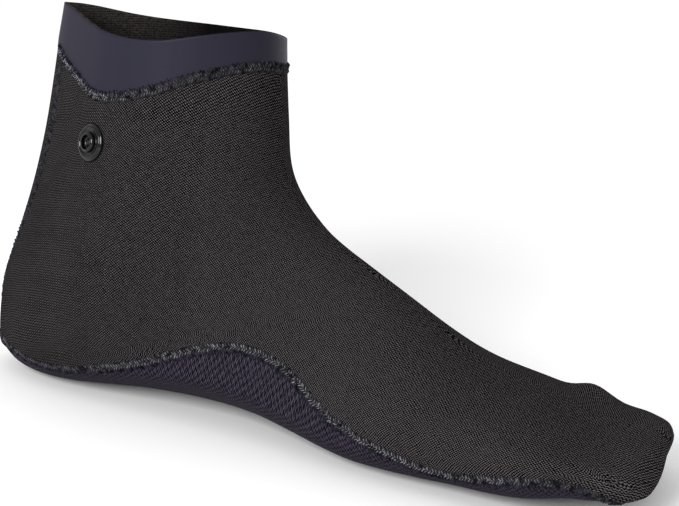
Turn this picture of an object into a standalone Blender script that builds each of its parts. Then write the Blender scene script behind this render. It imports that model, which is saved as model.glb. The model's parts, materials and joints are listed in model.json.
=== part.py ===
"""Low-cut neoprene sock for the left foot.

A stretched neoprene upper, a wrap-up sole panel and a smooth collar share one skin, which is worked
out from a table of foot sections. Raised seam bands lie over the joins, and a snap sits at the ankle.
Sizes are in millimetres and angles in degrees until a mesh is made. Toes point to +X, the inner side
of the foot faces -Y, and the origin is on the floor under the heel.
"""

import bmesh
import bpy
import numpy as np
from mathutils import Vector

MM = 0.001

# Walls, the gaps where pieces meet, and the share of its wall that a piece keeps at a pinched edge.
UPPER_WALL = 2.5
SOLE_WALL = 3.0
COLLAR_WALL = 2.0
PANEL_GAP = 0.36
EDGE_SHARE = 0.55

# Seam bands: half width, thickness and clearance over the skin.
SEAM_HALF_WIDTH = 2.1
BACK_SEAM_HALF_WIDTH = 2.4
SEAM_THICKNESS = 0.7
SEAM_CLEARANCE = 0.4

# Distances from a seam's middle to a panel's edge and to the two lines that keep the panel true to the
# skin there: one by the edge, one just outside the seam band.
EDGE_STRIP = 0.4
EDGE_MARGIN = 0.6
EDGE_LINES = (PANEL_GAP / 2, PANEL_GAP / 2 + EDGE_STRIP, SEAM_HALF_WIDTH + EDGE_MARGIN)

# Sections of the stretched sock, fanned round the ankle and then along the foot. Each is a rounded
# outline between a top (front) point and a bottom (back) point. Medial and lateral are half widths,
# top_y and bottom_y set the two points sideways, the two rounds are how square the outline is,
# widest is where it is broadest, skew slants it towards the big toe and arch hollows its inner side,
# the more the farther out, by the power below.
ARCH_POWER = 1.5
SECTION_COLUMNS = ("top_x", "top_z", "bottom_x", "bottom_z", "medial", "lateral", "top_y", "bottom_y",
                   "round_top", "round_bottom", "widest", "skew", "arch")
SECTIONS = {
    "above rim": (66, 165, -16, 165, 30, 31, 1, -3, 2.1, 1.22, 0.60, 0.00, 0),
    "rim": (68, 147, -17, 147, 30, 31, 1, -3, 2.1, 1.22, 0.60, 0.00, 0),
    "cuff": (70, 125, -19.6, 125, 31, 31, 1, -3, 2.1, 1.22, 0.60, 0.00, 0),
    "ankle": (72, 107, -22.7, 98, 33, 33, 1, -3, 2.1, 1.25, 0.58, 0.00, 0),
    "ankle bone": (75, 92, -28.6, 66, 36, 35, 0, -3, 2.1, 1.45, 0.54, 0.00, 0),
    "heel back": (83, 80, -35.9, 33, 36, 35, 0, -2, 2.1, 1.85, 0.46, 0.00, 0),
    "heel corner": (94, 71, -34.6, 7, 34, 34, -1, -1, 2.1, 2.10, 0.40, 0.00, 0),
    "heel seat": (107, 64, -12, -1, 33, 34, -2, 0, 2.1, 2.40, 0.36, 0.00, 1),
    "arch rear": (119, 58, 25, 0, 34, 36, -4, 1, 2.1, 2.40, 0.36, 0.00, 8),
    "arch": (132, 51, 68, 0, 38, 40, -6, 2, 2.1, 2.60, 0.36, 0.05, 11),
    "arch front": (146, 43, 110, -1, 46, 44, -8, 2, 2.1, 3.00, 0.36, 0.10, 1),
    "ball": (164, 35, 150, -1, 45, 46, -10, -1, 2.3, 2.70, 0.38, 0.16, 0),
    "toe root": (187, 29.6, 180, 1.3, 44, 44, -12, -3, 2.6, 2.90, 0.45, 0.18, 0),
    "toes": (206, 25.2, 204, 5.8, 37, 40, -13, -6, 2.9, 3.30, 0.50, 0.11, 0),
}

# Distance along the skin is counted by these shares of the steps of the top point, the bottom point and
# the middle between them.
ROW_SHARES = (0.3, 0.3, 0.4)

# The toe end closes over this length beyond the last section, with this squareness, on a tip at this
# share of its height. The steps are angles round that closing curve.
TOE_LENGTH = 22.6
TOE_ROUND = 2.6
TOE_TIP_HEIGHT = 0.66
TOE_STEPS = (25, 48, 66, 80, 90)

# Soft swellings of the skin: distance along it, angle round it, reach each way and shift in X, Y, Z.
BUMP_COLUMNS = ("along", "angle", "length", "spread", "shift_x", "shift_y", "shift_z")
BUMPS = {
    "little toe knuckle": (301, -52, 7, 14, 0.0, 1.0, 3.8),
    "big toe": (314, 70, 14, 35, 0.3, -1.3, 0.5),
    "big toe tip": (330, 122, 9, 45, 3.2, 0.0, 0.0),
    "second toe tip": (331, -64, 8, 45, 3.7, 0.0, 0.0),
}

# Distance along the skin of the collar's rim and of the seam under it, by angle round the ankle.
# Angle 0 is the front, 90 the inner side, 180 the back and -90 the outer side.
RIM_LINE = ((-180, 22.0), (-145, 25.5), (-90, 28.6), (-50, 26.8), (-10, 24.5), (10, 21.0), (40, 19.5),
            (65, 21.4), (105, 25.6), (140, 24.3))
COLLAR_LINE = ((-180, 38.5), (-160, 43.0), (-130, 50.0), (-110, 49.5), (-80, 44.0), (-45, 39.0),
               (-10, 36.0), (15, 33.0), (40, 32.6), (60, 35.4), (80, 39.8), (105, 47.2), (125, 48.8),
               (145, 45.5), (165, 42.0))

# Edge of the sole panel: its height on each side of the foot at stations from heel to toe. It crosses
# the back of the heel and the underside of the toes at these distances along the skin. It starts to
# round under the toes from a distance along and a turn from the underside of its own on the inner and
# on the outer side. The heel and toe ends take these lengths of it to each side of its middle. The
# sides lie between these angles round the foot.
SOLE_EDGE_COLUMNS = ("station", "medial", "lateral")
SOLE_EDGE = (
    (-26, 12.0, 12.0),
    (-3, 9.6, 11.0),
    (28, 17.7, 13.5),
    (54, 28.5, 15.5),
    (77, 34.3, 16.5),
    (94, 30.8, 16.0),
    (117, 19.2, 14.0),
    (139, 13.1, 11.5),
    (159, 9.7, 9.4),
    (175, 12.0, 7.6),
)
SOLE_HEEL_ALONG = 125.5
SOLE_TOE_ALONG = 323.0
SOLE_TOE_STARTS = (303.0, 298.0)
SOLE_TOE_TURNS = (-90, 48)
SIDE_ANGLES = {"medial": (45, 160), "lateral": (200, 315)}
SOLE_TOE_STEPS = (0, 30, 60)
SOLE_HEEL_END = 30.0
SOLE_TOE_END = 34.0

# The back seam's angle round the ankle, by distance along the skin, and its extra gap under the collar
# seam, which slants there.
BACK_SEAM_LINE = ((30, 171.0), (60, 168.5), (85, 163.5), (97, 164.0), (112, 171.0), (125, 177.0))
BACK_SEAM_TOP_GAP = 1.0

# Snap at the inner ankle: its place on the skin and its turned profile as (radius, height) pairs.
SNAP_ALONG = 64.6
SNAP_ANGLE = 116.5
SNAP_FLANGE_RADIUS = 6.6
SNAP_FLANGE_HEIGHT = 1.1
SNAP_BARREL_RADIUS = 3.6
SNAP_BARREL_HEIGHT = 2.4
SNAP_BORE_RADIUS = 1.9
SNAP_BORE_DEPTH = 1.4
SNAP_EDGE_ROUND = 0.5

# How finely the surfaces are divided.
RING_STEPS = 28
COLLAR_ROWS = 4
LEG_ROWS = 8
FOOT_ROWS = 28
TOE_ROWS = 4
SOLE_STEPS = 12
BACK_SEAM_STEPS = 12
TURN_STEPS = 24
EDGE_SAMPLES = 400
SHARP_ANGLE = 50
WELD = 0.00002

# How places on the skin are found: points looked at each way and steps closer from the nearest. Under
# the foot, what share of height counts against reach, how far beyond the sole's ends the search goes
# and how often it halves. Slopes are taken over a small step.
SEARCH_STEPS = 160
CLOSER_STEPS = 4
SLOPE_STEP = 0.05
HEIGHT_SHARE = 0.5
REACH_MARGIN = 8.0
HALVINGS = 40


def spline(knots, values):
    """Natural cubic spline through rows of values at the knots, as a function of the knot variable."""
    knots = np.asarray(knots, float)
    values = np.asarray(values, float)
    count = len(knots)
    gaps = np.diff(knots)[:, None]
    slopes = np.diff(values, axis=0) / gaps
    matrix = np.eye(count)
    right = np.zeros_like(values)
    for i in range(1, count - 1):
        before, after = gaps[i - 1, 0], gaps[i, 0]
        matrix[i, i - 1:i + 2] = before, 2 * (before + after), after
        right[i] = 6 * (slopes[i] - slopes[i - 1])
    bend = np.linalg.solve(matrix, right)

    def curve(at):
        i = np.clip(np.searchsorted(knots, at, side="right") - 1, 0, count - 2)
        gap = gaps[i]
        b = (np.asarray(at, float)[..., None] - knots[i][..., None]) / gap
        a = 1 - b
        straight = a * values[i] + b * values[i + 1]
        return straight + ((a ** 3 - a) * bend[i] + (b ** 3 - b) * bend[i + 1]) * gap ** 2 / 6

    return curve


def round_spline(line):
    """Closed curve through (angle, value) pairs, as a function of any angle in degrees."""
    angles, values = np.array(line, float).T
    turns = np.concatenate([angles - 360, angles, angles + 360])
    curve = spline(turns, np.tile(values, 3)[:, None])
    return lambda angle: curve((np.asarray(angle, float) + 180) % 360 - 180)[..., 0]


def section_rows():
    """The section table as an array, with the rows that close the toe end added."""
    rows = [dict(zip(SECTION_COLUMNS, values)) for values in SECTIONS.values()]
    last = rows[-1]
    tip_z = last["bottom_z"] + TOE_TIP_HEIGHT * (last["top_z"] - last["bottom_z"])
    tip_y = (last["top_y"] + last["bottom_y"]) / 2
    for step in TOE_STEPS:
        reach = np.sin(np.radians(step))
        shrink = max(0.0, 1 - reach ** TOE_ROUND) ** (1 / TOE_ROUND)
        front = last["top_x"] + TOE_LENGTH * reach
        rows.append({
            **last,
            "top_x": front,
            "bottom_x": front - (last["top_x"] - last["bottom_x"]) * shrink,
            "top_z": tip_z + (last["top_z"] - tip_z) * shrink,
            "bottom_z": tip_z + (last["bottom_z"] - tip_z) * shrink,
            "medial": last["medial"] * shrink,
            "lateral": last["lateral"] * shrink,
            "top_y": tip_y + (last["top_y"] - tip_y) * shrink,
            "bottom_y": tip_y + (last["bottom_y"] - tip_y) * shrink,
        })
    return np.array([[row[name] for name in SECTION_COLUMNS] for row in rows], float)


SECTION_ROWS = section_rows()
TOP_POINTS = SECTION_ROWS[:, 0:2]
BOTTOM_POINTS = SECTION_ROWS[:, 2:4]
ROW_STEPS = sum(
    share * np.linalg.norm(np.diff(points, axis=0), axis=1)
    for share, points in zip(ROW_SHARES, (TOP_POINTS, BOTTOM_POINTS, (TOP_POINTS + BOTTOM_POINTS) / 2)))
ROW_ALONG = np.concatenate([[0], np.cumsum(ROW_STEPS)])
SECTION_AT = spline(ROW_ALONG, SECTION_ROWS)
TIP_ALONG = ROW_ALONG[-1]


def skin(along, angle):
    """Outer surface of the sock at a distance along it and an angle round it, flattened at the floor."""
    along, angle = np.broadcast_arrays(np.asarray(along, float), np.asarray(angle, float))
    section = dict(zip(SECTION_COLUMNS, np.moveaxis(SECTION_AT(np.clip(along, 0, TIP_ALONG)), -1, 0)))
    cosine, sine = np.cos(np.radians(angle)), np.sin(np.radians(angle))
    square = section["round_bottom"] + (section["round_top"] - section["round_bottom"]) * (1 + cosine) / 2
    radius = (np.abs(cosine) ** square + np.abs(sine) ** square) ** (-1 / square)
    up, side = radius * cosine, radius * sine
    widest = section["widest"]
    share = widest + up * np.where(up > 0, 1 - widest, widest)
    half = np.maximum(np.where(side > 0, section["medial"], section["lateral"]), 0)
    across = -side * half
    x = section["bottom_x"] + (section["top_x"] - section["bottom_x"]) * share - section["skew"] * across
    y = section["bottom_y"] + (section["top_y"] - section["bottom_y"]) * share + across
    z = section["bottom_z"] + (section["top_z"] - section["bottom_z"]) * share
    z = z + section["arch"] * np.clip(side, 0, 1) ** ARCH_POWER * np.clip(1 - share / widest, 0, 1)
    points = np.stack([x, y, z], -1)
    for values in BUMPS.values():
        bump = dict(zip(BUMP_COLUMNS, values))
        turn = (angle - bump["angle"] + 180) % 360 - 180
        swell = np.exp(-((along - bump["along"]) / bump["length"]) ** 2 - (turn / bump["spread"]) ** 2)
        swell = swell * np.clip((TIP_ALONG - along) / bump["length"], 0, 1)
        points = points + swell[..., None] * (bump["shift_x"], bump["shift_y"], bump["shift_z"])
    points[..., 2] = np.maximum(points[..., 2], 0)
    return points


def skin_slopes(along, angle):
    """How the skin's point moves per millimetre along it and per degree round it."""
    step = SLOPE_STEP
    per_mm = (skin(along + step, angle) - skin(along - step, angle)) / (2 * step)
    per_degree = (skin(along, angle + step) - skin(along, angle - step)) / (2 * step)
    return per_mm, per_degree


def skin_normal(along, angle):
    """Outward unit normal of the skin."""
    per_mm, per_degree = skin_slopes(along, angle)
    normal = np.cross(per_degree, per_mm)
    return normal / np.linalg.norm(normal, axis=-1, keepdims=True)


def beside(along, angle, distance, closed):
    """A line on the skin moved sideways by a distance, to the left as seen from outside."""
    points = skin(along, angle)
    if closed:
        tangent = np.roll(points, -1, axis=0) - np.roll(points, 1, axis=0)
    else:
        tangent = np.gradient(points, axis=0)
    sideways = np.cross(skin_normal(along, angle), tangent)
    sideways *= distance / np.linalg.norm(sideways, axis=-1, keepdims=True)
    slopes = np.stack(skin_slopes(along, angle), -1)
    shift = np.einsum("nij,nj->ni", np.linalg.pinv(slopes), sideways)
    return along + shift[:, 0], angle + shift[:, 1]


def locate(station, height, side):
    """Place on one side of the skin, as (along, angle), that lies at an X station and a height."""
    alongs = np.linspace(SOLE_HEEL_ALONG, SOLE_TOE_ALONG, SEARCH_STEPS)[:, None]
    angles = np.linspace(*SIDE_ANGLES[side], SEARCH_STEPS)
    places = skin(alongs, angles)
    miss = np.hypot(places[..., 0] - station, places[..., 2] - height)
    row, column = np.unravel_index(np.argmin(miss), miss.shape)
    along, angle = alongs[row, 0], angles[column]
    for _ in range(CLOSER_STEPS):
        point = skin(along, angle)
        per_mm, per_degree = skin_slopes(along, angle)
        slopes = np.array([[per_mm[0], per_degree[0]], [per_mm[2], per_degree[2]]])
        shift = np.linalg.solve(slopes, [station - point[0], height - point[2]])
        along, angle = along + shift[0], angle + shift[1]
    return along, angle


def sole_edge():
    """The sole's edge as a closed line of places: inner side, toe end, outer side and heel end."""
    rows = [dict(zip(SOLE_EDGE_COLUMNS, values)) for values in SOLE_EDGE]
    medial, lateral = ([locate(row["station"], row[side], side) for row in rows] for side in SIDE_ANGLES)
    for side, start, turn in zip((medial, lateral), SOLE_TOE_STARTS, SOLE_TOE_TURNS):
        for step in np.radians(SOLE_TOE_STEPS):
            side.append((start + (SOLE_TOE_ALONG - start) * np.sin(step), 180 + turn * np.cos(step)))
    loop = [(SOLE_HEEL_ALONG, 180), *medial, (SOLE_TOE_ALONG, 180), *reversed(lateral)]
    turns = np.array(loop * 4, float)
    knots = np.concatenate([[0], np.cumsum(np.linalg.norm(np.diff(skin(*turns.T), axis=0), axis=1))])
    curve = spline(knots, turns)
    first, toe, second, last = knots[[len(loop), len(loop) * 3 // 2, 2 * len(loop), 3 * len(loop)]]
    fine = np.linspace(first, last, 2 * EDGE_SAMPLES)
    steps = np.linalg.norm(np.diff(skin(*curve(fine).T), axis=0), axis=1)
    run = np.concatenate([[0], np.cumsum(steps)])
    to_toe, once_round = np.interp((toe, second), fine, run)
    corners = (SOLE_HEEL_END, to_toe - SOLE_TOE_END, to_toe + SOLE_TOE_END,
               once_round - SOLE_HEEL_END, once_round + SOLE_HEEL_END)
    counts = (FOOT_ROWS, SOLE_STEPS, FOOT_ROWS, SOLE_STEPS)
    runs = [np.linspace(start, end, count, endpoint=False)
            for start, end, count in zip(corners, corners[1:], counts)]
    return curve(np.interp(np.concatenate(runs), run, fine)).T


def edge_line(distance):
    """The sole's edge moved sideways, towards the upper for a positive distance."""
    return np.array(beside(*EDGE_LOOP, distance, True))


def edge_sides(line):
    """Inner side and outer side of a line round the sole, both from heel to toe, and its two ends."""
    toe, outer, heel = FOOT_ROWS, FOOT_ROWS + SOLE_STEPS, 2 * FOOT_ROWS + SOLE_STEPS
    medial = line[:, :toe + 1]
    lateral = line[:, outer:heel + 1][:, ::-1]
    toe_end = line[:, toe:outer + 1]
    heel_end = np.column_stack([line[:, heel:], line[:, :1]])[:, ::-1]
    return medial, lateral, toe_end, heel_end


def forward(along, angle):
    """How far forward a place on the skin is. Height counts against it, so it grows down the heel too."""
    points = skin(along, angle)
    return points[..., 0] - HEIGHT_SHARE * points[..., 2]


def along_at(reach, angle):
    """Distance along the skin under the foot, at an angle round it, that is as far forward as the reach."""
    low = np.full_like(reach, SOLE_HEEL_ALONG - REACH_MARGIN)
    high = np.full_like(reach, SOLE_TOE_ALONG + REACH_MARGIN)
    for _ in range(HALVINGS):
        middle = (low + high) / 2
        short = forward(middle, angle) < reach
        low, high = np.where(short, middle, low), np.where(short, high, middle)
    return (low + high) / 2


def grid_object(name, grids, wall, outwards, material):
    """Sheet through grids of points in millimetres, welded where they meet, thickened to a wall."""
    mesh = bpy.data.meshes.new(name)
    sheet = bmesh.new()
    for grid in grids:
        rows = [[sheet.verts.new(point * MM) for point in row] for row in grid]
        for row, next_row in zip(rows, rows[1:]):
            for j in range(len(row) - 1):
                sheet.faces.new((row[j], row[j + 1], next_row[j + 1], next_row[j]))
    bmesh.ops.remove_doubles(sheet, verts=sheet.verts, dist=WELD)
    sheet.verts.index_update()
    inside = [vertex.index for vertex in sheet.verts if not vertex.is_boundary]
    sheet.to_mesh(mesh)
    sheet.free()
    part = bpy.data.objects.new(name, mesh)
    PARTS.objects.link(part)
    mesh.materials.append(material)
    mesh.shade_smooth()
    mesh.set_sharp_from_angle(angle=np.radians(SHARP_ANGLE))
    solidify = part.modifiers.new("Wall", "SOLIDIFY")
    solidify.thickness = wall * MM
    solidify.offset = 1 if outwards else -1
    part.vertex_groups.new(name="Full wall").add(inside, 1, "REPLACE")
    solidify.vertex_group = "Full wall"
    solidify.thickness_vertex_group = EDGE_SHARE
    return part


def make_material(name, colour, roughness, metallic=0.0):
    """Plain surface in the part's own colour."""
    material = bpy.data.materials.new(name)
    material.use_nodes = True
    surface = material.node_tree.nodes["Principled BSDF"]
    surface.inputs["Base Color"].default_value = (*colour, 1)
    surface.inputs["Roughness"].default_value = roughness
    surface.inputs["Metallic"].default_value = metallic
    return material


def closed_line(line):
    """A closed line of places with its first place repeated at its end, one turn on."""
    along, angle = line
    turn = 360 if angle[-1] - angle[0] > 180 else 0
    return np.array((np.append(along, along[0]), np.append(angle, angle[0] + turn)))


def collar_edge(distance):
    """Line beside the collar seam, lower for a positive distance."""
    return closed_line(beside(COLLAR_SEAM_AT(RING_ANGLES), RING_ANGLES, distance, True))


def blend(first, last, count):
    """Lines from one line of places to another, in even steps."""
    return [first + share * (last - first) for share in np.linspace(0, 1, count + 1)]


def foot_row(i, medial, lateral):
    """Line over the foot from the outer side's place to the inner side's, at a row of the sole's edge."""
    turn = np.linspace(-1, 1, RING_STEPS + 1)
    on_top = SOLE_HEEL_ALONG + (SOLE_TOE_ALONG - SOLE_HEEL_ALONG) * i / FOOT_ROWS
    ends = np.where(turn > 0, medial[0], lateral[0])
    along = on_top + (ends - on_top) * np.sin(np.pi / 2 * turn) ** 2
    return np.array((along, turn * np.where(turn > 0, medial[1], 360 - lateral[1])))


def make_collar():
    """Smooth band from the rim down to the collar seam."""
    edge, strip, shoulder = (collar_edge(-distance) for distance in EDGE_LINES)
    angles = np.append(RING_ANGLES, RING_ANGLES[0] + 360)
    rim = np.array((RIM_AT(angles), angles))
    rows = [*blend(rim, shoulder, COLLAR_ROWS), strip, edge]
    return grid_object("collar", [[skin(*row) for row in rows]], COLLAR_WALL, False,
                       make_material("smooth_skin", (0.045, 0.043, 0.062), 0.55))


def make_upper():
    """Shell from the collar seam over the heel and foot to the toes, open over the sole panel."""
    border = [closed_line(edge_line(distance)) for distance in EDGE_LINES]
    leg_edge, leg_strip, leg_shoulder = (collar_edge(distance) for distance in EDGE_LINES)
    _, _, toe_end, _ = edge_sides(edge_line(EDGE_LINES[-1]))
    toe_ring = np.column_stack([FOOT_LINES[-1], toe_end[:, 1:]])
    tip = np.array((np.full_like(toe_ring[0], TIP_ALONG), toe_ring[1]))
    leg = [leg_edge, leg_strip, *blend(leg_shoulder, closed_line((HEEL_RING[0], RING_ANGLES)), LEG_ROWS)]
    grids = [border, leg, FOOT_LINES, blend(toe_ring, tip, TOE_ROWS)]
    return grid_object("upper", [[skin(*row) for row in grid] for grid in grids], UPPER_WALL, False,
                       make_material("knit_neoprene", (0.052, 0.046, 0.048), 0.85))


def make_sole():
    """Dished panel under the foot, inside a border that follows its edge."""
    edge, strip, shoulder = (edge_line(-distance) for distance in EDGE_LINES)
    medial, lateral, toe_end, heel_end = edge_sides(np.array((forward(*shoulder), shoulder[1])))
    inside = []
    for i in range(FOOT_ROWS + 1):
        down = i / FOOT_ROWS
        across = np.linspace(0, 1, SOLE_STEPS + 1)
        ends = (1 - down) * heel_end + down * toe_end
        sides = np.outer(medial[:, i], 1 - across) + np.outer(lateral[:, i], across)
        corners = (np.outer((1 - down) * heel_end[:, 0] + down * toe_end[:, 0], 1 - across)
                   + np.outer((1 - down) * heel_end[:, -1] + down * toe_end[:, -1], across))
        reach, angle = ends + sides - corners
        inside.append((along_at(reach, angle), angle))
    border = [closed_line(line) for line in (shoulder, strip, edge)]
    return grid_object("sole", [[skin(*row) for row in grid] for grid in (border, inside)], SOLE_WALL, False,
                       make_material("mesh_neoprene", (0.041, 0.037, 0.053), 0.8))


def make_seam(name, along, angle, half_width, closed):
    """Raised band that follows a line on the skin."""
    points = []
    for distance in (-half_width, 0, half_width):
        place = beside(along, angle, distance, closed)
        line = skin(*place) + SEAM_CLEARANCE * skin_normal(*place)
        points.append(np.vstack([line, line[:1]]) if closed else line)
    return grid_object(name, [points], SEAM_THICKNESS, True, SEAM_MATERIAL)


def make_back_seam():
    """Band down the back, from under the collar seam to above the sole seam."""
    line = np.array(BACK_SEAM_LINE, float)
    angle_at = spline(line[:, 0], line[:, 1:])
    clear = SEAM_HALF_WIDTH + SEAM_CLEARANCE
    first_angle = angle_at(np.array([COLLAR_SEAM_AT(180)]))[0, 0]
    start = COLLAR_SEAM_AT(first_angle) + clear + BACK_SEAM_TOP_GAP
    along = np.linspace(start, SOLE_HEEL_ALONG - clear, BACK_SEAM_STEPS + 1)
    return make_seam("back_seam", along, angle_at(along)[:, 0], BACK_SEAM_HALF_WIDTH, False)


def make_snap():
    """Turned snap socket that sits on the skin and faces out from the inner ankle."""
    place = skin(SNAP_ALONG, SNAP_ANGLE)
    normal = skin_normal(SNAP_ALONG, SNAP_ANGLE)
    top, flange, soft = SNAP_BARREL_HEIGHT, SNAP_FLANGE_HEIGHT, SNAP_EDGE_ROUND
    profile = (
        (0, top - SNAP_BORE_DEPTH),
        (SNAP_BORE_RADIUS, top - SNAP_BORE_DEPTH),
        (SNAP_BORE_RADIUS, top - soft / 2),
        (SNAP_BORE_RADIUS + soft / 2, top),
        (SNAP_BARREL_RADIUS - soft, top),
        (SNAP_BARREL_RADIUS, top - soft),
        (SNAP_BARREL_RADIUS, flange - soft / 2),
        (SNAP_FLANGE_RADIUS - soft, flange),
        (SNAP_FLANGE_RADIUS, flange - soft),
        (SNAP_FLANGE_RADIUS, 0),
        (0, 0),
    )
    mesh = bpy.data.meshes.new("snap_socket")
    edges = [(i, i + 1) for i in range(len(profile) - 1)]
    mesh.from_pydata([(radius * MM, 0, height * MM) for radius, height in profile], edges, [])
    snap = bpy.data.objects.new("snap_socket", mesh)
    PARTS.objects.link(snap)
    mesh.materials.append(make_material("black_snap", (0.012, 0.012, 0.013), 0.3))
    snap.location = Vector((place + SEAM_CLEARANCE * normal) * MM)
    snap.rotation_euler = Vector(normal).to_track_quat("Z", "Y").to_euler()
    turn = snap.modifiers.new("Turn", "SCREW")
    turn.steps = turn.render_steps = TURN_STEPS
    turn.use_merge_vertices = True
    turn.merge_threshold = WELD
    return snap


for old in list(bpy.data.objects):
    bpy.data.objects.remove(old)
PARTS = bpy.data.collections.new("neoprene_sock")
bpy.context.scene.collection.children.link(PARTS)

RIM_AT = round_spline(RIM_LINE)
COLLAR_SEAM_AT = round_spline(COLLAR_LINE)
EDGE_LOOP = sole_edge()
UPPER_SIDES = edge_sides(edge_line(EDGE_LINES[-1]))
FOOT_LINES = [foot_row(i, UPPER_SIDES[0][:, i], UPPER_SIDES[1][:, i]) for i in range(FOOT_ROWS + 1)]
HEEL_RING = np.column_stack([FOOT_LINES[0], UPPER_SIDES[3][:, 1:-1]])
RING_ANGLES = HEEL_RING[1]
SEAM_MATERIAL = make_material("flatlock_thread", (0.085, 0.088, 0.11), 0.8)

make_upper()
make_sole()
make_collar()
make_seam("collar_seam", COLLAR_SEAM_AT(RING_ANGLES), RING_ANGLES, SEAM_HALF_WIDTH, True)
make_seam("sole_seam", *EDGE_LOOP, SEAM_HALF_WIDTH, True)
make_back_seam()
make_snap()
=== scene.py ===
import json

import bmesh
import bpy
import numpy as np
from mathutils import Matrix, Vector
from mathutils.bvhtree import BVHTree

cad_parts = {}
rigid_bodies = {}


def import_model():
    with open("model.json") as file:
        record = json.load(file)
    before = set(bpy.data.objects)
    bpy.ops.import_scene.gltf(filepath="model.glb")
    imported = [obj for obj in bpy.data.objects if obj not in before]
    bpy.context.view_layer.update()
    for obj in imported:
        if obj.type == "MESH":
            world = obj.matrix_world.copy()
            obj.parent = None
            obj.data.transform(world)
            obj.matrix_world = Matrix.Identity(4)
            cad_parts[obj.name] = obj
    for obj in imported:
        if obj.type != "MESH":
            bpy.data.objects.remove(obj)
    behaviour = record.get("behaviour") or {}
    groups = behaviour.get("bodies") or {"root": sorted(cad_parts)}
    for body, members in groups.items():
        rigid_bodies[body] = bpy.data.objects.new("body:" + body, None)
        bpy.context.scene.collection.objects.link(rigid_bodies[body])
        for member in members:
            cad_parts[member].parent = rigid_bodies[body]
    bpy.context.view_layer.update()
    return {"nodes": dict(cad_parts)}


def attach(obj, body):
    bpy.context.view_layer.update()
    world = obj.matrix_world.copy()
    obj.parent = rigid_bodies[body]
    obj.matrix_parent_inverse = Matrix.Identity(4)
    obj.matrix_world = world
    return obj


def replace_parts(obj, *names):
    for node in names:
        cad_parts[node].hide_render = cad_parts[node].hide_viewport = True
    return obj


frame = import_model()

# Upper
# A closed-cell neoprene sheet with a fine jersey knit on its outer face and a plush lining inside, cut
# in one piece, closed up the back and stretched over the foot.
MM = 0.001
WELD = 0.01 * MM
QUAD_FOLD, QUAD_SKEW = np.radians((50, 60))
SHARP_EDGE = np.radians(55)
EDGE_CREASE = 0.6
UPPER_LEVELS = 2
FITTING_ROUNDS = 4
RIDGE_CREASE = 0.9
RIDGE_HEIGHTS = (7 * MM, 33 * MM, 66 * MM)
RIDGE_PLACES = (-1.0 * MM, -2.0 * MM, -3.0 * MM)
RIDGE_HALF = 0.6 * MM
RIDGE_FRONT = -8 * MM
GRAIN_ROUND = 0.36
GRAIN_OVER = 0.5
GRAIN_EASING = 12
WALE_WIDTH = 1.0 * MM
COURSE_HEIGHT = 0.5 * MM
RIB_WIDTH = 0.95 * MM
KNIT_WANDER = 0.6 * MM
KNIT_BUMP = 0.08 * MM
KNIT_DARK = (0.0008, 0.0006, 0.0007, 1)
KNIT_MIDDLE = (0.0079, 0.0071, 0.0074, 1)
KNIT_LIGHT = (0.078, 0.0705, 0.0735, 1)
HEEL_FRONT = 5 * MM
HEEL_RIBS_END = 40 * MM
PLAIN_END = 48 * MM
FALLING_OPEN = 55 * MM
RISING_OPEN = 110 * MM
TOES_BACK = 204 * MM
TOES_FRONT = 218 * MM
RISING_SHARES = (0.14, 1.3)
FALLING_SHARES = (0.14, 1.1)
PATCH_NOISE = (0.3, 0.7)
PATCH_SHARES = (0.8, 1.2)
HEEL_RIBS = 0.12
TOE_SLOPES = (0.4, 0.8)
TOE_RIBS = (0.55, 0.1)
TOE_WEAVE_LOSS = 0.55
PLAIN_TONES = (0.49, 0.07)
TOE_TONE = 0.37
# Painted shade: how much darker the knit is painted where it faces up
TOP_PAINTED_SHADE = -0.04
MOTTLE_TONE = 0.1
LINING_COURSE = 0.9 * MM
LINING_WANDER = 0.4 * MM
LINING_BUMP = 0.2 * MM
# Painted shade inside the collar: where the lining starts to darken towards the front, where it is darkest,
# and the tone's share at each
LINING_PAINTED_LIGHT_END = 4 * MM
LINING_PAINTED_SHADE_START = 28 * MM
LINING_PAINTED_LIGHT_SHARES = (1.0, 0.03)
LINING_FUZZ_TONE = 1.6
LINING_ROW_TONE = 0.2
LINING_BASE_TONE = -0.35
LINING_DARK = (0.0012, 0.0011, 0.0011, 1)
LINING_LIGHT = (0.043, 0.036, 0.036, 1)


def shell_copy(name, node):
    """Copy of a CAD shell, welded to one mesh of quads with creased, seamed edges."""
    bpy.ops.object.select_all(action="DESELECT")
    piece = bpy.data.objects.new(name, frame["nodes"][node].data.copy())
    bpy.context.scene.collection.objects.link(piece)
    piece.data.materials.clear()
    bpy.context.view_layer.objects.active = piece
    piece.select_set(True)
    bpy.ops.mesh.customdata_custom_splitnormals_clear()
    bpy.ops.object.mode_set(mode="EDIT")
    bpy.ops.mesh.select_all(action="SELECT")
    bpy.ops.mesh.remove_doubles(threshold=WELD)
    bpy.ops.mesh.tris_convert_to_quads(face_threshold=QUAD_FOLD, shape_threshold=QUAD_SKEW)
    bpy.ops.mesh.faces_shade_smooth()
    bpy.ops.mesh.select_mode(type="EDGE")
    bpy.ops.mesh.select_all(action="DESELECT")
    bpy.ops.mesh.edges_select_sharp(sharpness=SHARP_EDGE)
    bpy.ops.mesh.mark_seam()
    bpy.ops.transform.edge_crease(value=EDGE_CREASE)
    bpy.ops.object.mode_set(mode="OBJECT")
    return piece


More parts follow.
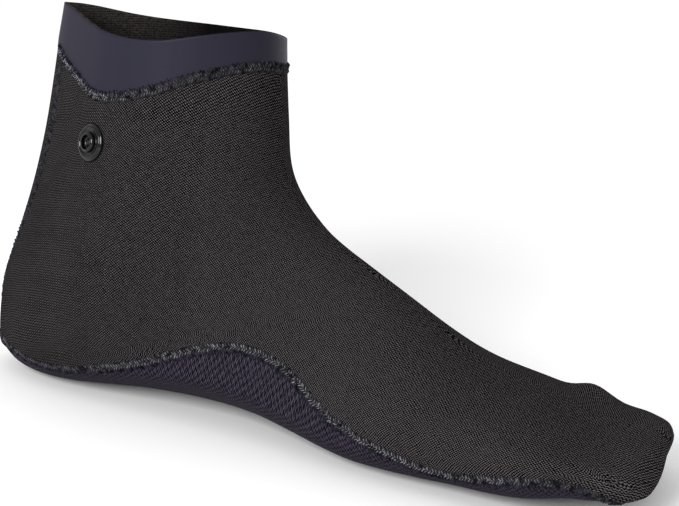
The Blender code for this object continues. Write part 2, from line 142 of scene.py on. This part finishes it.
def line_inside(piece, outer, lining, outermost):
    """Gives the outer face one finish, and the edges and inner face another."""
    piece.data.materials.append(outer)
    piece.data.materials.append(lining)
    for flags in (piece.data.polygons, piece.data.edges, piece.data.vertices):
        flags.foreach_set("select", np.zeros(len(flags), bool))
    seed = max(piece.data.polygons, key=lambda face: face.center.dot(outermost))
    seed.select = True
    bpy.ops.object.mode_set(mode="EDIT")
    bpy.ops.mesh.select_mode(type="FACE")
    bpy.ops.mesh.select_linked(delimit={"SEAM"})
    bpy.ops.mesh.select_all(action="INVERT")
    piece.active_material_index = 1
    bpy.ops.object.material_slot_assign()
    bpy.ops.object.mode_set(mode="OBJECT")


def crisp_back(piece):
    """Keeps the ridge down the back crisp."""
    mesh = piece.data
    x, y, z = np.array([vertex.co for vertex in mesh.vertices]).T
    ridge = np.interp(z, RIDGE_HEIGHTS, RIDGE_PLACES)
    on_ridge = (np.abs(y - ridge) < RIDGE_HALF) & (x < RIDGE_FRONT)
    creases = mesh.attributes["crease_edge"].data
    for edge in mesh.edges:
        if on_ridge[list(edge.vertices)].all():
            creases[edge.index].value = RIDGE_CREASE


def looking_ahead(mesh):
    """How far each point of the outer face looks ahead, from 1 at the front to -1 at the back, eased over its
    neighbours."""
    outward = [Vector() for _ in mesh.vertices]
    for face in mesh.polygons:
        if face.material_index == 0:
            for corner in face.vertices:
                outward[corner] += face.normal * face.area
    ahead = np.array([normal.normalized().x for normal in outward])
    starts, ends = np.array([edge.vertices for edge in mesh.edges]).T
    for _ in range(GRAIN_EASING):
        spread, shares = ahead.copy(), np.ones(len(ahead))
        for here, there in ((starts, ends), (ends, starts)):
            np.add.at(spread, here, ahead[there])
            np.add.at(shares, here, 1)
        ahead = spread / shares
    return ahead


def lay_grain(mesh):
    """UV map in metres, laid on from both sides and drawn round the ends and over the top, where the cloth is
    stretched most."""
    ahead = looking_ahead(mesh)
    corners = mesh.uv_layers.new(name="grain").data
    for loop in mesh.loops:
        x, y, z = mesh.vertices[loop.vertex_index].co
        round_end = GRAIN_ROUND * ahead[loop.vertex_index]
        corners[loop.index].uv = (x - round_end * abs(y), z - GRAIN_OVER * abs(y))


def round_off(piece, levels):
    """Subdivides the piece so that its rounded skin still passes through its own points."""
    bpy.ops.object.select_all(action="DESELECT")
    bpy.context.view_layer.objects.active = piece
    piece.select_set(True)
    rounding = piece.modifiers.new("Rounding", "SUBSURF")
    rounding.levels = rounding.render_levels = levels
    wanted = np.array([vertex.co for vertex in piece.data.vertices])
    cage = wanted.copy()
    for _ in range(FITTING_ROUNDS):
        rounded = piece.evaluated_get(bpy.context.evaluated_depsgraph_get()).data
        cage += wanted - np.array([vertex.co for vertex in rounded.vertices[:len(wanted)]])
        piece.data.vertices.foreach_set("co", cage.ravel())
        piece.data.update()
    bpy.ops.object.modifier_apply(modifier=rounding.name)


def add_node(tree, kind, inputs=(), **settings):
    """Shader node with its settings and inputs, each input a value or another node's output."""
    made = tree.nodes.new("ShaderNode" + kind)
    for name, value in settings.items():
        setattr(made, name, value)
    for name, value in dict(inputs).items():
        if isinstance(value, bpy.types.NodeSocket):
            tree.links.new(value, made.inputs[name])
        else:
            made.inputs[name].default_value = value
    return made


def maths(tree, operation, first, second=0.0, third=0.0):
    """Output of a Math node."""
    return add_node(tree, "Math", {0: first, 1: second, 2: third}, operation=operation).outputs[0]


def noise(tree, place, scale, detail=2.0):
    """Outputs of a Noise texture."""
    return add_node(tree, "TexNoise", {"Vector": place, "Scale": scale, "Detail": detail}).outputs


def grade(tree, value, low, high, at_low, at_high):
    """A value mapped from one range to another and held at its ends."""
    return add_node(tree, "MapRange", {"Value": value, "From Min": low, "From Max": high,
                                       "To Min": at_low, "To Max": at_high}).outputs["Result"]


def shades(tree, tone, *colours):
    """Colours in even steps, picked by a tone from 0 to 1."""
    ramp = add_node(tree, "ValToRGB", {"Fac": tone})
    stops = ramp.color_ramp.elements
    while len(stops) < len(colours):
        stops.new(0.5)
    for stop, place, colour in zip(stops, np.linspace(0, 1, len(colours)), colours):
        stop.position, stop.color = place, colour
    return ramp.outputs["Color"]


def waves(tree, place, length):
    """Waves from -1 to 1 along a measure."""
    return maths(tree, "COSINE", maths(tree, "MULTIPLY", place, 2 * np.pi / length))


def new_finish(name, roughness, specular):
    """New material, with its node tree and its shader."""
    material = bpy.data.materials.new(name)
    material.use_nodes = True
    shader = material.node_tree.nodes["Principled BSDF"]
    shader.inputs["Roughness"].default_value = roughness
    shader.inputs["Specular IOR Level"].default_value = specular
    return material, material.node_tree, shader


def add_bump(tree, shader, height, strength, distance):
    """Small relief on a finish."""
    bump = add_node(tree, "Bump", {"Height": height, "Strength": strength, "Distance": distance})
    tree.links.new(bump.outputs["Normal"], shader.inputs["Normal"])


def knit_waves(tree):
    """Fine diagonal waves of the knit, the rising and the falling ones, and the level ribs it is pulled into
    over the toes, all slightly uneven."""
    sources = add_node(tree, "TexCoord").outputs
    drift = noise(tree, sources["Object"], scale=850.0)["Color"]
    place = add_node(tree, "VectorMath", {0: drift, 1: (KNIT_WANDER, KNIT_WANDER, 0), 2: sources["UV"]},
                     operation="MULTIPLY_ADD")
    split = add_node(tree, "SeparateXYZ", {"Vector": place.outputs["Vector"]}).outputs
    along = maths(tree, "DIVIDE", split["X"], WALE_WIDTH)
    upward = maths(tree, "DIVIDE", split["Y"], 2 * COURSE_HEIGHT)
    rising = waves(tree, maths(tree, "SUBTRACT", along, upward), 1)
    falling = waves(tree, maths(tree, "ADD", along, upward), 1)
    return rising, falling, waves(tree, split["Y"], RIB_WIDTH)


def knit_finish():
    """Charcoal jersey: a fine diagonal weave of loops, plain at the heel, open from the ankle on and pulled
    into ribs over the toes. Where it faces up it is painted darker, as painted shade on the top of the foot."""
    material, tree, shader = new_finish("charcoal_knit", roughness=0.85, specular=0.0)
    sources = add_node(tree, "TexCoord").outputs
    thing = sources["Object"]
    ahead = add_node(tree, "SeparateXYZ", {"Vector": thing}).outputs["X"]
    up = add_node(tree, "SeparateXYZ", {"Vector": sources["Normal"]}).outputs["Z"]
    over_toes = grade(tree, ahead, TOES_BACK, TOES_FRONT, 0, 1)
    rising, falling, ribs = knit_waves(tree)
    rising = maths(tree, "MULTIPLY", rising, grade(tree, ahead, HEEL_FRONT, RISING_OPEN, *RISING_SHARES))
    falling = maths(tree, "MULTIPLY", falling, grade(tree, ahead, HEEL_FRONT, FALLING_OPEN, *FALLING_SHARES))
    patches = noise(tree, thing, scale=450.0, detail=1.0)["Fac"]
    patches = grade(tree, patches, *PATCH_NOISE, *PATCH_SHARES)
    weave = maths(tree, "MULTIPLY", maths(tree, "ADD", rising, falling), patches)
    weave = maths(tree, "MULTIPLY", weave, maths(tree, "MULTIPLY_ADD", over_toes, -TOE_WEAVE_LOSS, 1.0))
    toe_ribs = maths(tree, "MULTIPLY", over_toes, grade(tree, up, *TOE_SLOPES, *TOE_RIBS))
    ribbed = maths(tree, "ADD", toe_ribs, grade(tree, ahead, HEEL_FRONT, HEEL_RIBS_END, HEEL_RIBS, 0))
    relief = maths(tree, "MULTIPLY_ADD", ribs, ribbed, weave)
    plain = grade(tree, ahead, HEEL_FRONT, PLAIN_END, *PLAIN_TONES)
    plain = maths(tree, "MULTIPLY_ADD", over_toes, TOE_TONE, plain)
    # Painted shade: the tone drops where the surface faces up, standing in for less light on the top of the
    # foot
    plain = maths(tree, "MULTIPLY_ADD", maths(tree, "MAXIMUM", up, 0.0), TOP_PAINTED_SHADE, plain)
    mottle = noise(tree, thing, scale=60.0, detail=3.0)["Fac"]
    plain = maths(tree, "MULTIPLY_ADD", mottle, MOTTLE_TONE, plain)
    tone = maths(tree, "ADD", relief, plain)
    tree.links.new(shades(tree, tone, KNIT_DARK, KNIT_MIDDLE, KNIT_LIGHT), shader.inputs["Base Color"])
    add_bump(tree, shader, relief, strength=0.5, distance=KNIT_BUMP)
    return material


def lining_finish():
    """Brown-grey plush, dull, with painted shade that turns it near black round the front of the ankle."""
    material, tree, shader = new_finish("plush_lining", roughness=0.9, specular=0.05)
    thing = add_node(tree, "TexCoord").outputs["Object"]
    split = add_node(tree, "SeparateXYZ", {"Vector": thing}).outputs
    fuzz = noise(tree, thing, scale=1600.0)["Fac"]
    rows = waves(tree, maths(tree, "MULTIPLY_ADD", fuzz, LINING_WANDER, split["Z"]), LINING_COURSE)
    tone = maths(tree, "MULTIPLY_ADD", rows, LINING_ROW_TONE, LINING_BASE_TONE)
    tone = maths(tree, "MULTIPLY_ADD", fuzz, LINING_FUZZ_TONE, tone)
    # Painted shade: the tone fades to near black towards the front, standing in for the shadow on the inside
    # wall of the collar
    lit = grade(tree, split["X"], LINING_PAINTED_LIGHT_END, LINING_PAINTED_SHADE_START, *LINING_PAINTED_LIGHT_SHARES)
    tone = maths(tree, "MULTIPLY", tone, lit)
    tree.links.new(shades(tree, tone, LINING_DARK, LINING_LIGHT), shader.inputs["Base Color"])
    add_bump(tree, shader, fuzz, strength=0.4, distance=LINING_BUMP)
    return material


upper = shell_copy("upper_knit", "upper")
lining = lining_finish()
line_inside(upper, knit_finish(), lining, Vector((1, 0, 0)))
crisp_back(upper)
lay_grain(upper.data)
round_off(upper, UPPER_LEVELS)
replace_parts(upper, "upper")
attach(upper, "root")

# Sole
# A thicker neoprene panel with a mesh face for grip, dished to the foot and wrapped up the arch, butted to
# the upper all round.
SOLE_LEVELS = 2
MESH_DARK = (0.0006, 0.0005, 0.0011, 1)
MESH_LIGHT = (0.054, 0.044, 0.070, 1)
NET_WANDER = 1.2 * MM
NET_BUMP = 0.25 * MM
NET_TONE = 0.6
NET_FUZZ_TONE = 0.8
NET_BASE_TONE = -0.12
# Each wave of the net: its turns per millimetre along and up, and its share
NET_WAVES = ((0.55, 0.27, 0.3), (0.36, -0.31, 0.26), (1.18, -0.44, 0.4), (1.12, 0.44, 0.35))


def mesh_finish():
    """Fine net of two crossing sets of cords, with the twist of the cords in it. It runs up the sides and
    across the bottom."""
    material, tree, shader = new_finish("mesh_face", roughness=0.7, specular=0.05)
    thing = add_node(tree, "TexCoord").outputs["Object"]
    drift = noise(tree, thing, scale=350.0)["Color"]
    moved = add_node(tree, "VectorMath", {0: drift, 1: (NET_WANDER,) * 3, 2: thing}, operation="MULTIPLY_ADD")
    split = add_node(tree, "SeparateXYZ", {"Vector": moved.outputs["Vector"]}).outputs
    height = maths(tree, "ADD", split["Z"], maths(tree, "ABSOLUTE", split["Y"]))
    net = 0.0
    for along, upward, share in NET_WAVES:
        turns = maths(tree, "MULTIPLY", split["X"], along / MM)
        turns = maths(tree, "MULTIPLY_ADD", height, upward / MM, turns)
        net = maths(tree, "MULTIPLY_ADD", waves(tree, turns, 1), share, net)
    fuzz = noise(tree, thing, scale=1000.0)["Fac"]
    tone = maths(tree, "MULTIPLY_ADD", fuzz, NET_FUZZ_TONE, NET_BASE_TONE)
    tone = maths(tree, "MULTIPLY_ADD", net, NET_TONE, tone)
    tree.links.new(shades(tree, tone, MESH_DARK, MESH_LIGHT), shader.inputs["Base Color"])
    add_bump(tree, shader, net, strength=0.6, distance=NET_BUMP)
    return material


sole = shell_copy("sole_mesh", "sole")
line_inside(sole, mesh_finish(), lining, Vector((0, 0, -1)))
round_off(sole, SOLE_LEVELS)
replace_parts(sole, "sole")
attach(sole, "root")

# Collar
# A band of smooth-skin neoprene that grips the ankle. Its outer face is bare satin rubber, and the plush
# lining runs up its inside to the cut rim.
COLLAR_LEVELS = 2
SKIN_DARK = (0.0099, 0.0091, 0.0168, 1)
SKIN_LIGHT = (0.0171, 0.0159, 0.0274, 1)
SKIN_BUMP = 0.05 * MM
GRAIN_TONE = 0.3
STREAK_TONE = 0.7
STREAK_STRETCH = (1, 1, 0.15)


def smooth_skin_finish():
    """Satin rubber with a very fine grain and faint upright streaks."""
    material, tree, shader = new_finish("smooth_skin", roughness=0.5, specular=0.1)
    thing = add_node(tree, "TexCoord").outputs["Object"]
    grain = noise(tree, thing, scale=2500.0, detail=1.0)["Fac"]
    stretched = add_node(tree, "Mapping", {"Vector": thing, "Scale": STREAK_STRETCH}).outputs["Vector"]
    streaks = noise(tree, stretched, scale=120.0, detail=3.0)["Fac"]
    tone = maths(tree, "MULTIPLY_ADD", grain, GRAIN_TONE, maths(tree, "MULTIPLY", streaks, STREAK_TONE))
    tree.links.new(shades(tree, tone, SKIN_DARK, SKIN_LIGHT), shader.inputs["Base Color"])
    add_bump(tree, shader, grain, strength=0.15, distance=SKIN_BUMP)
    return material


collar = shell_copy("collar_band", "collar")
line_inside(collar, smooth_skin_finish(), lining, Vector((1, 0, 0)))
crisp_back(collar)
round_off(collar, COLLAR_LEVELS)
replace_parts(collar, "collar")
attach(collar, "root")

# Seams
# Flatlock joins: the panels' edges are butted and bridged by a dense band of slanted cover stitches, with
# a navy thread on the collar and sole side and a paler one on the upper side.
SEAM_HALF = 2.0 * MM
SEAM_STEP = 0.5 * MM
CLOSED_GAP = 30 * MM
FLAT_ENOUGH = 0.5
OUTER_FACE_CLEAR = 0.65 * MM
CURVE_PARTS = 30
STEADY_REACH = 8
SIDE_TEST_STEP = 20
STITCH_SIDES = 6
STITCH_PARTS = 4
STITCH_TAPER = 0.45
STITCH_ARCH = 0.32
# How far single stitches differ, in thickness, place along the row, slant, place across it and height
UNEVEN_THICKNESS = 0.2
UNEVEN_PLACE = 0.2
UNEVEN_SLANT = 0.5
UNEVEN_ACROSS = 0.2
UNEVEN_HEIGHT = 0.1
# Across the band, as a share of its half width, and height in millimetres
BAND_PROFILE = np.array(((-1.0, -0.25), (-1.0, 0.02), (-0.6, 0.2), (0, 0.3),
                         (0.6, 0.2), (1.0, 0.02), (1.0, -0.25)))
DYE_NOISE = (0.35, 0.7)
PALE_SHADE = (0.007, 0.007, 0.009, 1)
COLLAR_PALE = (0.28, 0.28, 0.31, 1)
SOLE_PALE = (0.25, 0.25, 0.27, 1)
NAVY_SHADE = (0.002, 0.0017, 0.004, 1)
NAVY = (0.040, 0.036, 0.060, 1)
ROPE_SHADE = (0.008, 0.008, 0.010, 1)
ROPE = (0.036, 0.035, 0.045, 1)
CLOTH_SHADE = (0.003, 0.003, 0.004, 1)
CLOTH = (0.024, 0.022, 0.026, 1)
# Places along the foot where a fade starts and ends, and the tone's share at each
COLLAR_FADE = (12 * MM, 42 * MM, 1.0, 0.3)
HEEL_FADE = (10 * MM, 55 * MM, 0.4, 1.0)
TOE_FADE = (175 * MM, 205 * MM, 1.0, 0.3)


def thread_finish(name, dark, light, *fades):
    """Twisted thread with slightly uneven dye. Each fade changes its tone between two places along the
    foot."""
    material, tree, shader = new_finish(name, roughness=0.75, specular=0.03)
    thing = add_node(tree, "TexCoord").outputs["Object"]
    ahead = add_node(tree, "SeparateXYZ", {"Vector": thing}).outputs["X"]
    tone = grade(tree, noise(tree, thing, scale=550.0)["Fac"], *DYE_NOISE, 0, 1)
    for fade in fades:
        tone = maths(tree, "MULTIPLY", tone, grade(tree, ahead, *fade))
    tree.links.new(shades(tree, tone, dark, light), shader.inputs["Base Color"])
    return material


def surface(mesh):
    """Search tree of a mesh's faces."""
    places = [vertex.co for vertex in mesh.vertices]
    return BVHTree.FromPolygons(places, [face.vertices for face in mesh.polygons])


def middle_line(node):
    """Points along the middle of a seam band's outer face, in order, and whether they close on themselves."""
    band = bmesh.new()
    band.from_mesh(frame["nodes"][node].data)
    bmesh.ops.remove_doubles(band, verts=band.verts, dist=WELD)
    band.normal_update()
    skins = [surface(frame["nodes"][panel].data) for panel in ("upper", "sole", "collar")]
    middle = set()
    for vertex in band.verts:
        normals = [face.normal for face in vertex.link_faces]
        flat = min(one.dot(other) for one in normals for other in normals) > FLAT_ENOUGH
        clear = min(skin.find_nearest(vertex.co)[3] for skin in skins)
        if flat and clear > OUTER_FACE_CLEAR:
            middle.add(vertex)
    beside = {v: [e.other_vert(v) for e in v.link_edges if e.other_vert(v) in middle] for v in middle}
    ends = [v for v in middle if len(beside[v]) < 2]
    line = [min(ends or middle, key=lambda v: tuple(v.co))]
    seen = set(line)
    while True:
        ahead = [v for v in beside[line[-1]] if v not in seen]
        if not ahead:
            break
        line.append(min(ahead, key=lambda v: tuple(v.co)))
        seen.add(line[-1])
    points = np.array([v.co for v in line])
    band.free()
    closed = np.linalg.norm(points[0] - points[-1]) < CLOSED_GAP
    if not closed:
        points = run_on(points)
    return points, closed


def run_on(points):
    """A line with one more point at each end, straight on."""
    return np.vstack((2 * points[:1] - points[1:2], points, 2 * points[-1:] - points[-2:-1]))


def even_line(points, closed):
    """A line rounded between its points and cut into even small steps."""
    around = np.vstack((points[-1:], points, points[:2])) if closed else run_on(points)
    part = np.linspace(0, 1, CURVE_PARTS, endpoint=False)[:, None]
    runs = []
    for a, b, c, d in zip(around, around[1:], around[2:], around[3:]):
        bend, turn = 2 * a - 5 * b + 4 * c - d, 3 * b - a - 3 * c + d
        runs.append((2 * b + (c - a) * part + bend * part ** 2 + turn * part ** 3) / 2)
    fine = np.vstack((*runs, around[-2:-1]))
    run = np.concatenate(([0], np.cumsum(np.linalg.norm(np.diff(fine, axis=0), axis=1))))
    even = np.linspace(0, run[-1], int(run[-1] / SEAM_STEP), endpoint=not closed)
    return np.column_stack([np.interp(even, run, fine[:, k]) for k in range(3)]), run[-1]


def ribbon_on(node):
    """Strip of skin under a seam: lines at its two edges and its middle, and which way is out."""
    points, closed = middle_line(node)
    line, length = even_line(points, closed)
    skins = [surface(panel.data) for panel in (upper, sole, collar)]

    def drop(places):
        found = []
        for place in places:
            near = min((skin.find_nearest(Vector(place)) for skin in skins), key=lambda hit: hit[3])
            found.append(near[0])
        return np.array(found)

    def steady(values):
        padded = np.pad(values, ((STEADY_REACH, STEADY_REACH), (0, 0)), mode="wrap" if closed else "edge")
        mean = np.mean([padded[k:k + len(values)] for k in range(2 * STEADY_REACH + 1)], axis=0)
        return mean / np.linalg.norm(mean, axis=1, keepdims=True)

    def from_upper(edge):
        return np.mean([skins[0].find_nearest(Vector(place))[3] for place in edge[::SIDE_TEST_STEP]])

    middle = drop(line)
    out = steady(line - middle)
    ahead = np.roll(line, -1, axis=0) - np.roll(line, 1, axis=0) if closed else np.gradient(line, axis=0)
    side = steady(np.cross(out, ahead))
    first, last = drop(middle - SEAM_HALF * side), drop(middle + SEAM_HALF * side)
    if from_upper(first) < from_upper(last):
        first, last = last, first
    run = np.linspace(0, length, len(line), endpoint=not closed)
    return {"lines": (first, middle, last), "out": out, "run": run, "length": length, "closed": closed}


def on_ribbon(ribbon, along, across, above):
    """Points at distances along, across and above a ribbon. The upper is on its positive side."""
    period = ribbon["length"] if ribbon["closed"] else None

    def at(values):
        columns = [np.interp(along, ribbon["run"], column, period=period) for column in values.T]
        return np.column_stack(columns)

    first, middle, last = (at(line) for line in ribbon["lines"])
    share = (np.asarray(across) / SEAM_HALF)[:, None]
    ground = middle * (1 - share ** 2) + last * (share ** 2 + share) / 2 + first * (share ** 2 - share) / 2
    return ground + at(ribbon["out"]) * np.asarray(above)[:, None]


def new_mesh_piece(name, places, faces, material):
    """Smooth mesh object with one material, on the body."""
    mesh = bpy.data.meshes.new(name)
    mesh.from_pydata(places, [], faces)
    mesh.shade_smooth()
    mesh.materials.append(material)
    piece = bpy.data.objects.new(name, mesh)
    bpy.context.scene.collection.objects.link(piece)
    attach(piece, "root")
    return piece


def seam_base(name, ribbon, material):
    """Low crowned band under the stitches."""
    around, count = len(BAND_PROFILE), len(ribbon["run"])
    along = np.repeat(ribbon["run"], around)
    across, above = np.tile(BAND_PROFILE * (SEAM_HALF, MM), (count, 1)).T
    places = on_ribbon(ribbon, along, across, above)
    faces = []
    for i in range(count if ribbon["closed"] else count - 1):
        here, there = i * around, (i + 1) % count * around
        for j in range(around):
            k = (j + 1) % around
            faces.append((here + j, here + k, there + k, there + j))
    if not ribbon["closed"]:
        faces += [tuple(range(around))[::-1], tuple(range((count - 1) * around, count * around))]
    piece = new_mesh_piece(name, places, faces, material)
    bpy.ops.object.select_all(action="DESELECT")
    bpy.context.view_layer.objects.active = piece
    piece.select_set(True)
    bpy.ops.object.mode_set(mode="EDIT")
    bpy.ops.mesh.select_all(action="SELECT")
    bpy.ops.mesh.normals_make_consistent(inside=False)
    bpy.ops.object.mode_set(mode="OBJECT")
    return piece


def model_stitch():
    """One straight stitch of unit length and radius, as its points and faces."""
    bpy.ops.object.select_all(action="DESELECT")
    bpy.ops.mesh.primitive_circle_add(vertices=STITCH_SIDES, radius=1, fill_type="NGON")
    bpy.ops.object.mode_set(mode="EDIT")
    for _ in range(STITCH_PARTS):
        bpy.ops.mesh.extrude_region_move(TRANSFORM_OT_translate={"value": (0, 0, 1 / STITCH_PARTS)})
    bpy.ops.mesh.select_all(action="SELECT")
    bpy.ops.mesh.normals_make_consistent(inside=False)
    bpy.ops.object.mode_set(mode="OBJECT")
    stitch = bpy.context.object
    places = np.array([v.co for v in stitch.data.vertices])
    faces = [tuple(p.vertices) for p in stitch.data.polygons]
    bpy.data.objects.remove(stitch)
    return places, faces


STITCH = model_stitch()


def stitch_row(name, ribbon, low, high, pitch, slant, radius, lift, shift, material):
    """Row of slanted, slightly uneven stitches that arch over the band from one line to another. Sizes in
    millimetres."""
    unit, unit_faces = STITCH
    count = int(ribbon["length"] / (pitch * MM))
    chance = np.random.default_rng(count)

    def uneven(spread):
        return chance.uniform(-spread, spread, (count, 1))

    from_middle = 2 * unit[:, 2] - 1
    thick = radius * MM * (1 - STITCH_TAPER * from_middle ** 4) * (1 + uneven(UNEVEN_THICKNESS))
    starts = (np.arange(count)[:, None] + 0.5 + shift + uneven(UNEVEN_PLACE)) * ribbon["length"] / count
    lean = slant * MM * (1 + uneven(UNEVEN_SLANT)) * (unit[:, 2] - 0.5) + unit[:, 0] * thick
    across = (low + (high - low) * unit[:, 2] + uneven(UNEVEN_ACROSS)) * MM
    height = (lift + STITCH_ARCH + uneven(UNEVEN_HEIGHT)) * MM
    above = height * (1 - from_middle ** 2) + unit[:, 1] * thick
    places = on_ribbon(ribbon, (starts + lean).ravel(), across.ravel(), above.ravel())
    faces = [tuple(k + i * len(unit) for k in face) for i in range(count) for face in unit_faces]
    return new_mesh_piece(name, places, faces, material)


collar_thread = thread_finish("collar_thread", PALE_SHADE, COLLAR_PALE, COLLAR_FADE)
sole_thread = thread_finish("sole_thread", PALE_SHADE, SOLE_PALE, HEEL_FADE, TOE_FADE)
navy_thread = thread_finish("navy_thread", NAVY_SHADE, NAVY)
rope_thread = thread_finish("rope_thread", ROPE_SHADE, ROPE)
seam_cloth = thread_finish("seam_cloth", CLOTH_SHADE, CLOTH)
# Each row: its name, low and high line, pitch, slant, radius, lift, shift in pitches, and thread
STITCH_ROWS = {
    "collar_seam": (("high", -1.5, 0.1, 1.15, 1.0, 0.16, 0.2, 0.0, collar_thread),
                    ("low", -0.1, 1.4, 1.15, -1.0, 0.16, 0.2, 0.5, collar_thread),
                    ("spikes", -2.4, -0.6, 2.0, 0.5, 0.30, 0.3, 0.3, navy_thread)),
    "sole_seam": (("high", 0.3, 1.7, 1.15, -1.0, 0.17, 0.2, 0.0, sole_thread),
                  ("low", -1.0, 0.5, 1.15, 1.0, 0.17, 0.2, 0.5, sole_thread),
                  ("navy", -2.4, -0.6, 1.2, -0.9, 0.24, 0.1, 0.5, navy_thread)),
    "back_seam": (("left", -3.0, 0.3, 1.9, 1.5, 0.4, -0.1, 0.0, rope_thread),
                  ("right", -0.3, 3.0, 1.9, -1.5, 0.4, -0.1, 0.5, rope_thread)),
}
for node, rows in STITCH_ROWS.items():
    ribbon = ribbon_on(node)
    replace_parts(seam_base(node + "_base", ribbon, seam_cloth), node)
    for row, *sizes in rows:
        stitch_row(node + "_" + row, ribbon, *sizes)

# Snap
# A gloss black press-snap socket, moulded with a raised lip round its flange and a hollow barrel, riveted
# through the inner ankle.
SNAP_SEGMENTS = 64
SNAP_LEVELS = 1
SNAP_BASE_RADIUS = 6.6
SAME_WAY = 0.999
SNAP_DARK = (0.0006, 0.0006, 0.0007, 1)
SNAP_LIGHT = (0.003, 0.003, 0.0033, 1)
SNAP_POLISH = 0.02
SNAP_WEAR = 0.1
# Radius and height in millimetres, from the flange's rim to the middle
SNAP_FLANGE = ((6.6, 0.45), (6.3, 0.8), (5.9, 1.05), (5.5, 1.15), (5.1, 1.0), (4.6, 0.45), (4.0, 0.4))
SNAP_BARREL = ((3.75, 0.6), (3.65, 1.6), (3.4, 2.0), (3.1, 2.25), (2.8, 2.3), (2.6, 2.1), (2.5, 0.5))
SNAP_STUD = ((1.3, 0.4), (1.1, 1.1), (0.5, 1.3))


def gloss_black_finish():
    """Moulded plastic with faint wear and dust."""
    material, tree, shader = new_finish("gloss_black", roughness=0.1, specular=0.3)
    thing = add_node(tree, "TexCoord").outputs["Object"]
    wear = noise(tree, thing, scale=700.0, detail=3.0)["Fac"]
    tree.links.new(shades(tree, wear, SNAP_DARK, SNAP_LIGHT), shader.inputs["Base Color"])
    tree.links.new(maths(tree, "MULTIPLY_ADD", wear, SNAP_WEAR, SNAP_POLISH), shader.inputs["Roughness"])
    return material


socket = frame["nodes"]["snap_socket"].data.polygons
normals = np.array([face.normal for face in socket])
areas = np.array([face.area for face in socket])
alike = normals @ normals.T > SAME_WAY
base = alike[np.argmax(alike @ areas)]
socket_axis = -normals[base].mean(axis=0)
seat = np.average([face.center for face in socket], axis=0, weights=areas * base)
bpy.ops.object.select_all(action="DESELECT")
bpy.ops.mesh.primitive_circle_add(vertices=SNAP_SEGMENTS, radius=SNAP_BASE_RADIUS * MM, fill_type="NGON")
snap = bpy.context.object
snap.name = "snap_black"
bpy.ops.object.mode_set(mode="EDIT")
last_radius, last_height = SNAP_BASE_RADIUS, 0
for radius, height in SNAP_FLANGE + SNAP_BARREL + SNAP_STUD:
    bpy.ops.mesh.extrude_region_move(TRANSFORM_OT_translate={"value": (0, 0, (height - last_height) * MM)})
    shrink = radius / last_radius
    bpy.ops.transform.resize(value=(shrink, shrink, 1))
    last_radius, last_height = radius, height
bpy.ops.mesh.select_all(action="SELECT")
bpy.ops.mesh.normals_make_consistent(inside=False)
bpy.ops.mesh.faces_shade_smooth()
bpy.ops.object.mode_set(mode="OBJECT")
snap.location = seat
snap.rotation_euler = Vector(socket_axis).to_track_quat("Z", "Y").to_euler()
bpy.ops.object.transform_apply(location=True, rotation=True, scale=True)
snap.data.materials.append(gloss_black_finish())
round_off(snap, SNAP_LEVELS)
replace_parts(snap, "snap_socket")
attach(snap, "root")

# Studio
# A wide white paper floor, soft white light all round, a large soft light from the front and a weak one from
# behind, seen from where the photograph was taken.
FLOOR_SIZE = 8
PAPER_DARK = (0.89, 0.89, 0.89, 1)
PAPER_LIGHT = (0.93, 0.93, 0.93, 1)
SKY_COLOUR = (1, 1, 1, 1)
SKY_STRENGTH = 0.8
LIT_POINT = Vector((0.1, 0, 0.05))
TARGET = np.array((0.098, 0.0, 0.066))
AZIMUTH, ELEVATION, ROLL = np.radians((20, 17, 4.7))
DISTANCE = 0.8
FOCAL_PIXELS = 2190
IMAGE_WIDTH = 679
SENSOR = 36.0


def paper_finish():
    """White paper, faintly cloudy."""
    material, tree, shader = new_finish("white_paper", roughness=0.9, specular=0.5)
    pulp = noise(tree, add_node(tree, "TexCoord").outputs["Object"], scale=3.0)["Fac"]
    tree.links.new(shades(tree, pulp, PAPER_DARK, PAPER_LIGHT), shader.inputs["Base Color"])
    return material


def soft_light(name, place, size, power):
    """Square soft light that faces the sock."""
    data = bpy.data.lights.new(name, "AREA")
    data.size = size
    data.energy = power
    lamp = bpy.data.objects.new(name, data)
    lamp.location = place
    lamp.rotation_euler = (LIT_POINT - Vector(place)).to_track_quat("-Z", "Y").to_euler()
    bpy.context.scene.collection.objects.link(lamp)


bpy.ops.object.select_all(action="DESELECT")
bpy.ops.mesh.primitive_plane_add(size=FLOOR_SIZE)
floor = bpy.context.object
floor.name = "floor"
floor.data.materials.append(paper_finish())

world = bpy.data.worlds.new("studio")
bpy.context.scene.world = world
world.use_nodes = True
sky = world.node_tree.nodes["Background"].inputs
sky["Color"].default_value = SKY_COLOUR
sky["Strength"].default_value = SKY_STRENGTH
soft_light("key", place=(-0.15, -1.4, 0.75), size=0.7, power=26)
soft_light("fill", place=(0.3, 1.5, 0.5), size=1.2, power=7)

level = np.array((np.sin(AZIMUTH), -np.cos(AZIMUTH), 0))
back = level * np.cos(ELEVATION) + np.array((0, 0, np.sin(ELEVATION)))
right = np.cross(-back, (0, 0, 1))
right /= np.linalg.norm(right)
up = np.cross(right, -back)
turned_right = right * np.cos(ROLL) + up * np.sin(ROLL)
turned_up = up * np.cos(ROLL) - right * np.sin(ROLL)
view = bpy.data.cameras.new("camera")
view.sensor_fit = "HORIZONTAL"
view.sensor_width = SENSOR
view.lens = FOCAL_PIXELS / IMAGE_WIDTH * SENSOR
camera = bpy.data.objects.new("camera", view)
stand = np.eye(4)
stand[:3, :3] = np.column_stack((turned_right, turned_up, back))
stand[:3, 3] = TARGET + DISTANCE * back
camera.matrix_world = Matrix(stand.tolist())
bpy.context.scene.collection.objects.link(camera)
bpy.context.scene.camera = camera
bpy.context.scene.view_settings.view_transform = "Standard"
